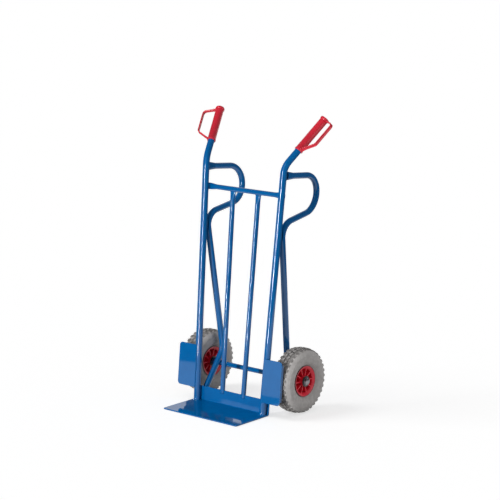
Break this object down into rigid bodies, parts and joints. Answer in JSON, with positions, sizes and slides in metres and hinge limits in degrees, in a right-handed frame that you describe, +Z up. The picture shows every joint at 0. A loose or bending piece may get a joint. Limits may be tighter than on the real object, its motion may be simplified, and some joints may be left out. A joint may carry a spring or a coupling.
{
  "type": "hand truck",
  "caption": "Two-wheeled upright hand truck: welded tube frame with rear support loops, bent toe plate, wheel guards, air-filled tyres and angled grips with knuckle straps.",
  "frame": {"origin": "on the floor, on the toe plate's underside, under the mid-plane where the plane of the rails meets the floor", "axes": "+X to the truck's left-to-right across the axle, +Y to the back, +Z up"},
  "size_m": [0.6608, 0.4952, 1.1629],
  "materials": {
    "blue_powder_coat": "glossy powder coat",
    "red_grip_plastic": "moulded soft vinyl",
    "red_rim_plastic": "moulded polypropylene",
    "grey_tyre": "moulded grey rubber",
    "tube_rubber": "plain butyl rubber",
    "black_plastic": "moulded",
    "zinc_steel": "zinc plated",
    "bright_cap": "bright plated",
    "white_nylon": "moulded"
  },
  "bodies": {
    "frame": {"toe_plate": "blue_powder_coat", "top_crossbar": "blue_powder_coat", "axle": "blue_powder_coat", "left_rail": "blue_powder_coat", "left_brace": "blue_powder_coat", "left_inner_bar": "blue_powder_coat", "left_wheel_guard": "blue_powder_coat", "left_grip": "red_grip_plastic", "left_axle_collar": "blue_powder_coat", "left_inner_washer": "zinc_steel", "left_outer_washer": "zinc_steel", "left_axle_cap": "bright_cap", "right_rail": "blue_powder_coat", "right_brace": "blue_powder_coat", "right_inner_bar": "blue_powder_coat", "right_wheel_guard": "blue_powder_coat", "right_grip": "red_grip_plastic", "right_axle_collar": "blue_powder_coat", "right_inner_washer": "zinc_steel", "right_outer_washer": "zinc_steel", "right_axle_cap": "bright_cap"},
    "left_wheel": {"left_tyre": "grey_tyre", "left_inner_tube": "tube_rubber", "left_valve_stem": "tube_rubber", "left_valve_cap": "black_plastic", "left_rim_outer_half": "red_rim_plastic", "left_rim_inner_half": "red_rim_plastic", "left_rim_screws": "zinc_steel", "left_bearing_cage": "white_nylon", "left_bearing_rollers": "zinc_steel", "left_outer_hub_cover": "black_plastic", "left_inner_hub_cover": "black_plastic"},
    "right_wheel": {"right_tyre": "grey_tyre", "right_inner_tube": "tube_rubber", "right_valve_stem": "tube_rubber", "right_valve_cap": "black_plastic", "right_rim_outer_half": "red_rim_plastic", "right_rim_inner_half": "red_rim_plastic", "right_rim_screws": "zinc_steel", "right_bearing_cage": "white_nylon", "right_bearing_rollers": "zinc_steel", "right_outer_hub_cover": "black_plastic", "right_inner_hub_cover": "black_plastic"}
  },
  "joints": [
    {"name": "left_wheel_spin", "type": "hinge", "parent": "frame", "child": "left_wheel", "pos_m": [-0.2412, 0.1393, 0.13], "axis": [1, 0, 0], "continuous": true},
    {"name": "right_wheel_spin", "type": "hinge", "parent": "frame", "child": "right_wheel", "pos_m": [0.2412, 0.1393, 0.13], "axis": [1, 0, 0], "continuous": true}
  ]
}
